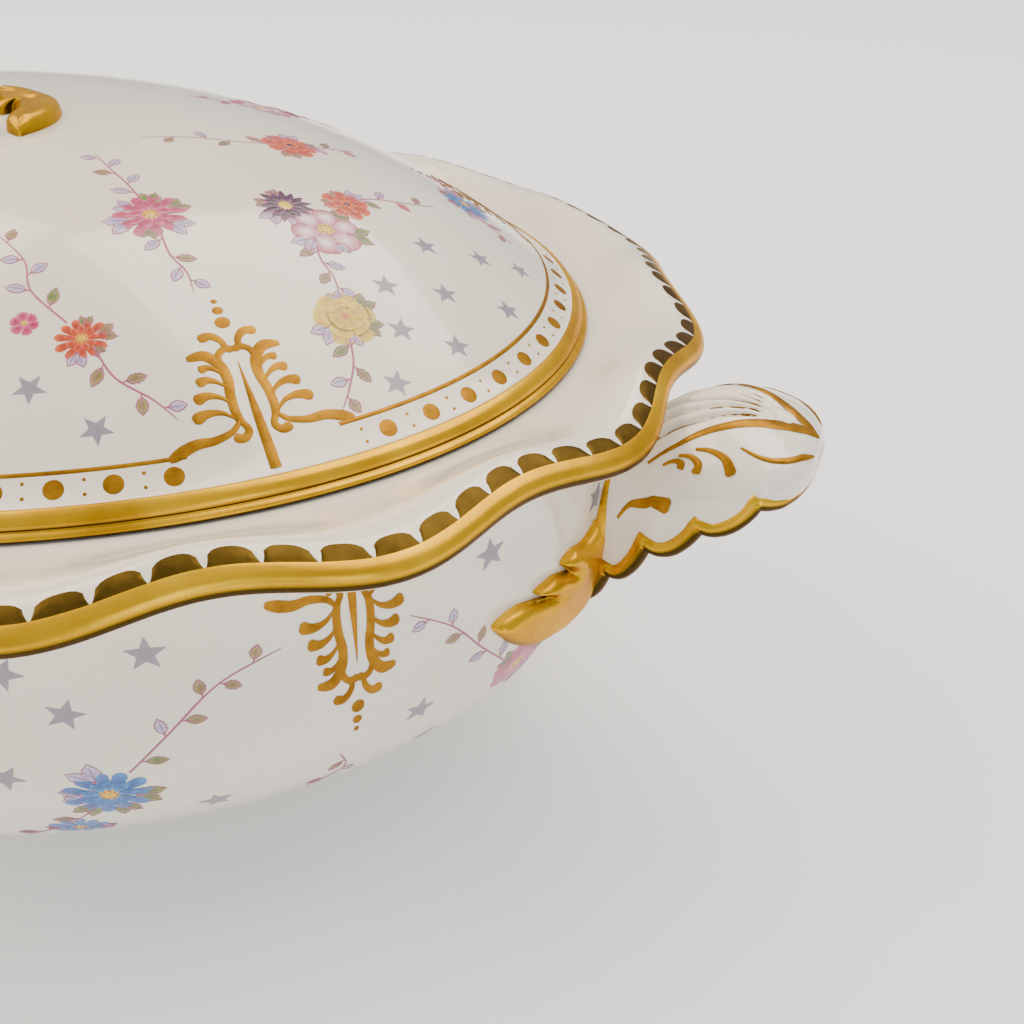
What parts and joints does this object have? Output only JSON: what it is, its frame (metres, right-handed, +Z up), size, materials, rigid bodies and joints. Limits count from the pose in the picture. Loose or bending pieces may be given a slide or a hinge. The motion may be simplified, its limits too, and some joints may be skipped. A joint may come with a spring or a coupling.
{
  "type": "soup tureen",
  "caption": "Oval covered soup tureen in white glazed porcelain with a lobed rim, shell-shaped end handles, a domed lift-off cover with a loop handle, and gilt leaf sprigs.",
  "frame": {"origin": "centre of the foot ring's resting face, on the table", "axes": "+Z up, along the way the cover lifts; +X through the right handle; -Y to the front of the tureen"},
  "size_m": [0.33, 0.2224, 0.1424],
  "materials": {
    "glaze": "clear gloss glaze over warm white porcelain",
    "gilding": "burnished gilding over glazed porcelain"
  },
  "bodies": {
    "bowl_body": {"bowl": "glaze", "foot_ring": "glaze", "right_handle": "glaze", "right_handle_front_leaf": "gilding", "right_handle_back_leaf": "gilding", "left_handle": "glaze", "left_handle_front_leaf": "gilding", "left_handle_back_leaf": "gilding"},
    "cover_body": {"cover": "glaze", "cover_handle": "gilding", "cover_right_leaf": "gilding", "cover_left_leaf": "gilding"}
  },
  "joints": [
    {"name": "cover_lift", "type": "slide", "parent": "bowl_body", "child": "cover_body", "axis": [0, 0, 1], "range_m": [0, 0.12]}
  ]
}
